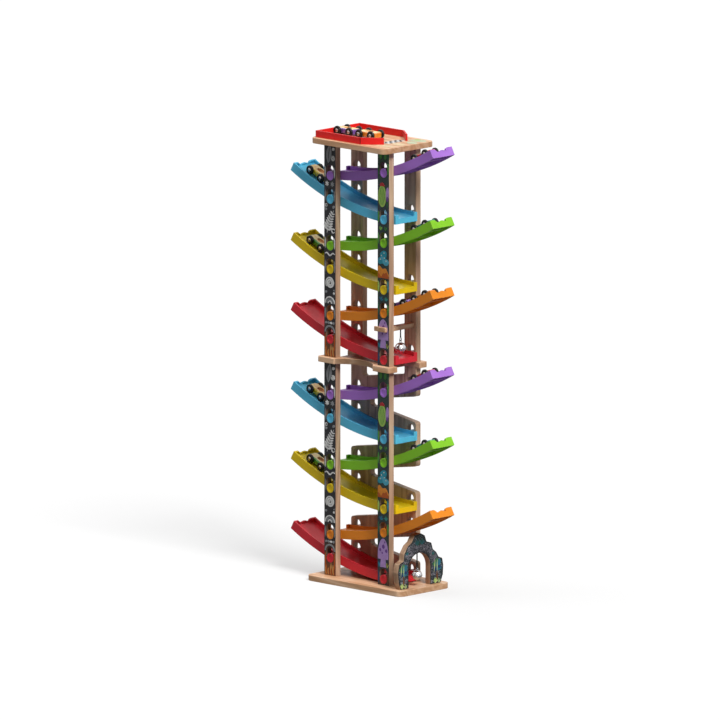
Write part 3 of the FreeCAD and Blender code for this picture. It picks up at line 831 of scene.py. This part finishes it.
def pebble(u, v, radius, kind):
    """Uneven round stone: the radius wavers by two sines whose phase follows the kind."""
    angle = full_turn(28)
    reach = radius * (1 + 0.1 * np.sin(2 * angle + kind) + 0.06 * np.sin(3 * angle + 2.3 * kind))
    return paired(u + reach * np.cos(angle), v + reach * 0.85 * np.sin(angle))


def pebbles(rows):
    """Stones from rows of (u, v, radius, kind, colour)."""
    return [(pebble(*row[:4]), row[4]) for row in rows]


def mound(u0, u1, v, height, waves, phase):
    """Hills with a flat foot at v: the crest is a sum of two sines."""
    share = np.linspace(0, 1, 24)
    crest = v + height * (0.62 + 0.25 * np.sin(2 * math.pi * waves * share + phase)
                          + 0.13 * np.sin(5 * math.pi * waves * share + 2 * phase))
    x = u0 + (u1 - u0) * share
    return np.concatenate([paired(x, crest), [(u1, v), (u0, v)]])


def arch(u, v, radius, width):
    """Half ring, open below."""
    turn = np.linspace(0, math.pi, 24)
    outer, inner = radius + width / 2, radius - width / 2
    return np.concatenate([swept(u, v, outer, turn), swept(u, v, inner, turn[::-1])])


def tuft(u, v, height, blades, spread, colour, other):
    """Fan of thin blades from one foot, in two colours by turns."""
    shapes = []
    for i, lean in enumerate(np.linspace(-spread, spread, blades)):
        length = height * (1 - 0.25 * abs(lean) / spread)
        blade = leaf(u, v, length, height * 0.16, lean, 0.12 * math.sin(3 * i))
        shapes.append((blade, colour if i % 2 else other))
    return shapes


def stems(rows):
    """Thin upright leaves from rows of (u, v, length, width, colour)."""
    return [(leaf(*row[:4], 0), row[4]) for row in rows]


def frond(u, v, length, lean, size, bend, colour):
    """Fern frond: a bent stalk with pairs of leaves that shorten towards its tip."""
    pairs = 7
    share = np.linspace(0, 1, 14)
    line = lean_to(bend * length * share ** 2, length * share, u, v, lean)
    shapes = [(ribbon(line, 0.9), colour)]
    for i in range(pairs):
        at = 0.12 + 0.82 * i / pairs
        foot = lean_to(np.array([bend * length * at ** 2]), np.array([length * at]), u, v, lean)[0]
        here = lean + math.degrees(math.atan(2 * bend * at))
        reach = size * (1 - 0.65 * at)
        for side in (-1, 1):
            shapes.append((leaf(foot[0], foot[1], reach, reach * 0.34, here + side * 58), colour))
    return shapes


def toadstool(u, v, width, height, cap, spot, stalk):
    """Toadstool on its foot at (u, v): a tapered stalk under a domed cap with five spots."""
    rise = 0.42 * height
    stem = np.array([(-0.3, 0), (0.3, 0), (0.22, 0.3), (0.2, 0.5), (-0.2, 0.5), (-0.22, 0.3)])
    angle = np.linspace(math.radians(-14), math.radians(194), 40)
    dome = paired(width / 2 * np.cos(angle), rise + (height - rise) * np.sin(angle))
    shapes = [(stem * (width, height) + (u, v), stalk), (dome + (u, v), cap)]
    for x, y, radius in ((-0.28, 0.6, 0.1), (0.02, 0.72, 0.13), (0.3, 0.58, 0.11), (-0.08, 0.5, 0.07),
                         (0.16, 0.88, 0.06)):
        shapes.append((oval(u + x * width, v + y * height, radius * width, radius * width * 1.15), spot))
    return shapes


def chalk_print():
    """Left posts: chalk shells, arcs, a fern and stones on soot, with rusty reeds at the foot."""
    shapes = []
    for i, u in enumerate(np.linspace(-12, 12, 13)):
        colour = ("umber", "rust", "sand")[i * 2 % 3]
        shapes.append((leaf(u, 0.5, 13 + 3 * (i % 4), 3.8, 2 * math.sin(3 * i)), colour))
    for side in (-1, 1):
        rim = side * 11.4
        shapes += stems([(side * 11.2, 12, 30, 3.4, "rust"), (side * 11.5, 68, 20, 2.6, "grey"),
                         (rim, 150, 22, 2.4, "grey"), (rim, 192, 20, 2.4, "chalk"),
                         (rim, 276, 21, 2.4, "grey"), (rim, 318, 20, 2.4, "chalk")])
    shapes += [(arch(0, 43.5, 11.3, 3.2), "grey")]
    shapes += pebbles([(-9, 60.4, 2.6, 1, "grey"), (-3, 60.4, 2.6, 3, "grey"), (3, 60.4, 2.6, 2, "chalk"),
                       (9, 60.4, 2.6, 5, "grey")])
    for radius, colour in ((11.4, "chalk"), (7.8, "grey"), (4.2, "chalk")):
        shapes.append((arch(0, 95, radius, 2.3), colour))
    shapes += [(curl(0.3, 131.5, 10.6, 2.5, 3.3, 40), "chalk")]
    shapes += pebbles([(-9.5, 115, 2.6, 2, "grey"), (9.8, 113.5, 2.2, 4, "chalk"),
                       (10.2, 119, 1.5, 5, "grey")])
    wave = np.linspace(0, 1, 24)
    shapes.append((ribbon(paired(-12 + 24 * wave, 182.5 + 2.2 * np.sin(9.4 * wave)), 2.6), "chalk"))
    shapes += frond(-7, 220, 44, 13, 14, 0.16, "chalk")
    shapes += [(hoop(8.4, 224.5, 3.6, 1.9), "chalk"), (pebble(-9.5, 262, 3.0, 3), "grey"),
               (hoop(-8.8, 269, 2.4, 1.4), "chalk"), (pebble(9.4, 267, 3.0, 6), "grey")]
    for u, colour in ((-6.5, "chalk"), (6.5, "grey")):
        shapes += [(leaf(u, 307.4, 4.8, 2.0, turn), colour) for turn in range(0, 360, 60)]
    shapes += [(leaf(-3.5, 344, 34, 13, 4, 0.06), "grey"), (leaf(-3.2, 346, 30, 1.6, 4, 0.06), "soot")]
    shapes += [(curl(7.6, 353, 4.8, 1.8, 1.9, 200), "chalk"), (pebble(9.0, 370, 3.2, 6), "chalk")]
    return shapes


def cactus(u, v, half_u, half_v, body, rib, flower):
    """Barrel cactus: an upright oval with three bent ribs and a flower of five petals on top."""
    shapes = [(oval(u, v, half_u, half_v, 0, 40, 0.06), body)]
    share = np.linspace(-1, 1, 18)
    for bend in (-0.55, 0.0, 0.55):
        line = paired(u + bend * half_u * np.cos(share * 1.3), v + 0.82 * half_v * share)
        shapes.append((ribbon(line, 1.5), rib))
    shapes += [(leaf(u, v + 0.93 * half_v, 6.2, 3.4, lean), flower) for lean in (-80, -42, 0, 42, 80)]
    return shapes


def garden_print():
    """Right posts: a lilac toadstool, a teal bush over an amber hill, a cactus and leaves at night."""
    shapes = stems([(-11.2, 2, 24, 3.2, "navy"), (11.2, 2, 24, 3.2, "umber")])
    shapes += toadstool(-0.3, 32, 25.6, 51, "lilac", "plum", "lilac")
    shapes += tuft(9.5, 31.2, 11, 4, 24, "lime", "umber") + tuft(-10, 31.2, 13, 3, 14, "navy", "teal")
    shapes += tuft(-5, 115.4, 9.5, 6, 50, "teal", "navy") + tuft(7, 115.4, 8.5, 5, 40, "leaf", "teal")
    shapes += [(mound(-13.2, 13.2, 156, 23, 0.6, 0.4), "amber"),
               (mound(-13.2, 13.2, 156, 12, 1.2, 2.6), "rust")]
    shapes += pebbles([(-5, 187, 8.0, 1, "teal"), (5.6, 185, 7.4, 3, "sky"), (0.5, 197, 8.6, 5, "teal"),
                       (-2.5, 191, 4.2, 2, "sky")])
    for u, v in ((-7, 189), (2, 201), (7, 187), (3, 192), (-4, 196)):
        shapes.append((oval(u, v, 1.1, 1.1), "cream"))
    shapes += tuft(-6, 240.2, 8.6, 5, 44, "lime", "leaf") + tuft(6, 240.2, 9, 5, 40, "leaf", "moss")
    shapes += cactus(-2.6, 301.5, 9.4, 19.5, "lime", "leaf", "crimson")
    shapes += [(oval(9.8, 306, 3.2, 12, 4), "lilac"), (oval(10.0, 297, 2.0, 5, 4), "plum"),
               (leaf(9.5, 281, 13, 3.4, 0), "moss")]
    for u, lean, colour in ((-10, -10, "moss"), (-4.5, 8, "leaf"), (1.5, -8, "moss"), (7, 10, "leaf"),
                            (11, -2, "moss")):
        shapes.append((leaf(u, 379.5, 13.5, 6.0, 180 + lean), colour))
    rims = ((90, 1, "leaf"), (92, -1, "moss"), (130, -1, "lime"), (132, 1, "teal"), (214, 1, "moss"),
            (216, -1, "leaf"), (254, -1, "leaf"), (256, 1, "navy"), (340, 1, "leaf"), (338, -1, "moss"))
    return shapes + stems([(side * 11.4, v, 20, 2.8, colour) for v, side, colour in rims])


def rock_print():
    """Finish gate, its arch left bare: ferns on the crown, a teal bush on a stalk on each leg, and
    tall grass at the feet."""
    shapes = tuft(-8, 83, 14, 6, 42, "moss", "pool") + tuft(3, 84, 13, 6, 44, "pool", "moss")
    shapes += tuft(-34, 69, 8, 5, 40, "moss", "pool") + tuft(31, 61, 8, 5, 36, "pool", "moss")
    for foot in (-42.8, 40.5):
        shapes += [(ribbon([(foot - 0.5, 13), (foot + 0.4, 22), (foot - 0.2, 34)], 3.6), "umber")]
        shapes += pebbles([(foot - 4.4, 37, 5.6, 4, "dusk"), (foot + 4.2, 37.5, 6.0, 1, "pool"),
                           (foot - 3.4, 45, 6.4, 2, "fern"), (foot + 3.4, 46.5, 6.8, 5, "pool"),
                           (foot + 6.0, 39, 3.6, 3, "dusk"), (foot - 0.5, 51.5, 3.6, 6, "fern")])
        for u, lean in ((-7.0, 3), (0.5, -3)):
            shapes.append((leaf(foot + u, 31, 22, 1.7, lean, 0.05), "straw"))
        shapes += tuft(foot - 4, 10.6, 11, 6, 34, "straw", "lime")
        shapes += tuft(foot + 4.6, 10.6, 9, 5, 34, "fern", "straw")
    return shapes


def meadow_print():
    """Top board beside the tray: a chequered start line and a pale meadow towards the far corner."""
    shapes = []
    side = 6
    for row in range(3):
        for column in range(7):
            corner = np.array((37 + side * row, -16 + side * column))
            square = corner + side * np.array([(0, 0), (1, 0), (1, 1), (0, 1)])
            shapes.append((square, "soot" if (row + column) % 2 else "chalk"))
    return shapes + pebbles([(70, 43, 15, 1, "mist"), (77, 20, 11, 3, "mist"), (64, 47, 6, 5, "lime"),
                             (72, -8, 13, 2, "hay"), (60, -38, 12, 4, "hay"), (75, -36, 10, 5, "hay")])


layer_start = 0.03 * MM
layer_step = 0.012 * MM
layer_depth = 0.05 * MM
post_half = 14 * MM


def lay_print(name, shapes, origin, across, up, outwards, node):
    """Thin closed prisms, one per motif, each a step higher than the one before. Motifs lie on the
    face at origin, with u along across and v along up; outwards is the face's direction."""
    parts = []
    axes = np.array([across, up], float)
    outwards = np.array(outwards, float)
    for number, (outline, colour) in enumerate(shapes):
        flat = np.array(origin) + outline @ axes * MM
        proud = outwards * (layer_start + layer_step * number)
        parts.append(part(np.stack([flat - outwards * layer_depth, flat + proud]), 0, inks[colour]))
    piece(name, parts, node, (), 30.0)


def face_outline(node, side):
    """Outline of a node's faces that look along X or against it, as one closed row of points
    (y, z) with the faces on its left."""
    made = merged(node)
    after = {}
    for face in made.faces:
        if face.normal.x * side > 0.9:
            for loop in face.loops:
                if all(other.normal.x * side < 0.9 for other in loop.edge.link_faces if other is not face):
                    after[loop.vert] = loop.link_loop_next.vert
    first = next(iter(after))
    row = [first]
    while after[row[-1]] is not first:
        row.append(after[row[-1]])
    points = np.array([(vertex.co.y, vertex.co.z) for vertex in row])
    made.free()
    return points if side > 0 else points * (-1, 1)


def band_inside(points, start, end):
    """Two closed rows of points drawn in from an outline by two distances, along the mean of the
    directions square to the neighbouring edges."""
    edges = np.roll(points, -1, axis=0) - points
    edges /= np.maximum(np.linalg.norm(edges, axis=1), 1e-9)[:, None]
    square = paired(-edges[:, 1], edges[:, 0])
    inwards = square + np.roll(square, 1, axis=0)
    inwards /= np.maximum(np.linalg.norm(inwards, axis=1), 0.5)[:, None]
    return points + inwards * start, points + inwards * end


def gate_sides():
    """Name, place along X and way outwards of the gate's two faces."""
    lowest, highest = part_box("finish_gate")
    return ("gate_front", highest.x, 1), ("gate_back", lowest.x, -1)


def gate_edge():
    """Black edge line on both faces of the gate."""
    for name, x, way in gate_sides():
        outer, inner = band_inside(face_outline("finish_gate", way), 0.8 * MM, 2.4 * MM)
        rings = np.empty((4, len(outer), 3))
        for ring, row, proud in zip(rings, (outer, outer, inner, inner), (-0.05, 0.02, 0.02, -0.05)):
            ring[:, 0] = x + way * proud * MM
            ring[:, 1] = row[:, 0] * way
            ring[:, 2] = row[:, 1]
        line = part(np.concatenate([rings, rings[:1]]), 0, inks["soot"], (False, False))
        piece(name + "_edge", [line], "finish_gate", (), 30.0, 0.0001 * MM)


def prints():
    """Prints of both front posts in both storeys, of the gate's two faces and of the top board."""
    right, ahead, up = (1, 0, 0), (0, 1, 0), (0, 0, 1)
    for storey, floor_z in storey_floors.items():
        node = storey + "_front_posts"
        lowest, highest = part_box(node)
        for hand, shapes, middle in (("left", chalk_print(), lowest.x + post_half),
                                     ("right", garden_print(), highest.x - post_half)):
            lay_print(f"{storey}_{hand}_print", shapes, (middle, lowest.y, floor_z), right, up, (0, -1, 0),
                      node)
    for name, x, way in gate_sides():
        lay_print(name + "_print", rock_print(), (x, 0, 0), ahead, up, (way, 0, 0),
                  "finish_gate")
    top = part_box("top_board")[1].z
    lay_print("start_line_print", meadow_print(), (0, 0, top), right, ahead, up, "top_board")


def printed_nodes():
    """Posts and gate with their printed grounds, and darker wood on the walls of the posts' slots as painted
    shade in the recesses.
    """
    edge = 3 * MM
    soot_stops = [(0.0, "7a4a28"), (0.1, "4a3020"), (0.16, "242225"), (0.75, "25262a"), (1.0, "1d1e20")]
    night_stops = [(0.0, "3a2c22"), (0.1, "222c34"), (0.4, "22332e"), (0.8, "26303a"), (1.0, "24402c")]

    def in_front(face):
        return face.normal.y < -0.9

    def on_left(face):
        return in_front(face) and face.calc_center_median().x < 0

    for storey, floor_z in storey_floors.items():
        high = floor_z + storey_height
        outer_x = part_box(storey + "_front_posts")[1].x
        inner_x = outer_x - 2 * post_half

        def in_slot(face):
            place = face.calc_center_median()
            return (abs(face.normal.y) < 0.5 and inner_x + edge < abs(place.x) < outer_x - edge
                    and floor_z + edge < place.z < high - edge)

        soot = print_ground(f"{storey}_soot_ground", soot_stops, floor_z, high)
        night = print_ground(f"{storey}_night_ground", night_stops, floor_z, high)
        finishes = [(on_left, soot), (in_front, night), (in_slot, wood_slots_painted_shade)] + whole(wood_upright_painted_shade)
        eased(storey + "_front_posts", finishes, 0.2 * MM)
    # the gate's sides get the darker wood of painted shade
    finishes = [(lambda face: abs(face.normal.x) > 0.9, rock)] + whole(wood_gate_painted_shade)
    eased("finish_gate", finishes, 0.5 * MM)


printed_nodes()
prints()
gate_edge()


# Floor, light and camera

view_azimuth = 44.5
view_elevation = 10.3
view_centre = Vector((-15.2, -15.5, 397.5)) * MM
view_width = 1261 * MM
lens = 1100.0


def direction(azimuth, elevation):
    """Unit vector towards an azimuth and an elevation in degrees; azimuth 0 is the viewer's side."""
    a = math.radians(azimuth)
    e = math.radians(elevation)
    return Vector((math.sin(a) * math.cos(e), -math.cos(a) * math.cos(e), math.sin(e)))


def aimed(name, data, back):
    """A linked object whose back is turned to a direction."""
    made = placed(name, data)
    made.rotation_mode = "QUATERNION"
    made.rotation_quaternion = back.to_track_quat("Z", "Y")
    return made


def camera():
    """Long lens from the front right, a little above; the view is view_width wide at the object."""
    data = bpy.data.cameras.new("camera")
    data.sensor_width = 36.0
    data.lens = lens
    distance = view_width * lens / data.sensor_width
    back = direction(view_azimuth, view_elevation)
    data.clip_start = 1.0
    data.clip_end = distance + 40
    made = aimed("camera", data, back)
    made.location = view_centre + back * distance
    bpy.context.scene.camera = made


def floor():
    """Plain pale floor that shows white where no shadow lies on it and throws little light back."""
    half = 40.0
    mesh = bpy.data.meshes.new("floor")
    corners = [(-half, -half, 0), (half, -half, 0), (half, half, 0), (-half, half, 0)]
    mesh.from_pydata(corners, [], [(0, 1, 2, 3)])
    f = Finish("floor", 0.1, (("Roughness", 0.9),))
    seen = f.add("LightPath", {})["Is Camera Ray"]
    f.feed(f.shader.inputs["Base Color"], f.mix(seen, tint("868686"), tint("acacac")))
    f.feed(f.shader.inputs["Emission Color"], tint("ffffff"))
    f.feed(f.shader.inputs["Emission Strength"], f.work("MULTIPLY", seen, 0.5))
    mesh.materials.append(f.material)
    placed("floor", mesh)


def lamp(name, strength, softness, azimuth, elevation):
    """A far white lamp: azimuth as the camera's, softness is its angle across, all in degrees."""
    data = bpy.data.lights.new(name, "SUN")
    data.energy = strength
    data.angle = math.radians(softness)
    aimed(name, data, direction(azimuth, elevation))


def surroundings():
    """White to the camera and in reflections, dimmer as light on the object."""
    world = bpy.data.worlds.new("surroundings")
    world.use_nodes = True
    nodes = Nodes(world.node_tree)
    background = world.node_tree.nodes["Background"]
    nodes.feed(background.inputs["Color"], tint("ffffff"))
    rays = nodes.add("LightPath", {})
    seen = rays["Is Camera Ray"]
    for ray in ("Is Glossy Ray", "Is Transmission Ray"):
        seen = nodes.work("MAXIMUM", seen, rays[ray])
    nodes.feed(background.inputs["Strength"], nodes.between(seen, 0.0, 1.0, 0.1, 1.0))
    bpy.context.scene.world = world


camera()
floor()
lamp("key", 3.1, 22, 77, 45)
lamp("ceiling", 0.4, 80, 60, 65)
lamp("fill", 1.3, 50, -78, 55)
surroundings()
bpy.context.scene.view_settings.view_transform = "Standard"
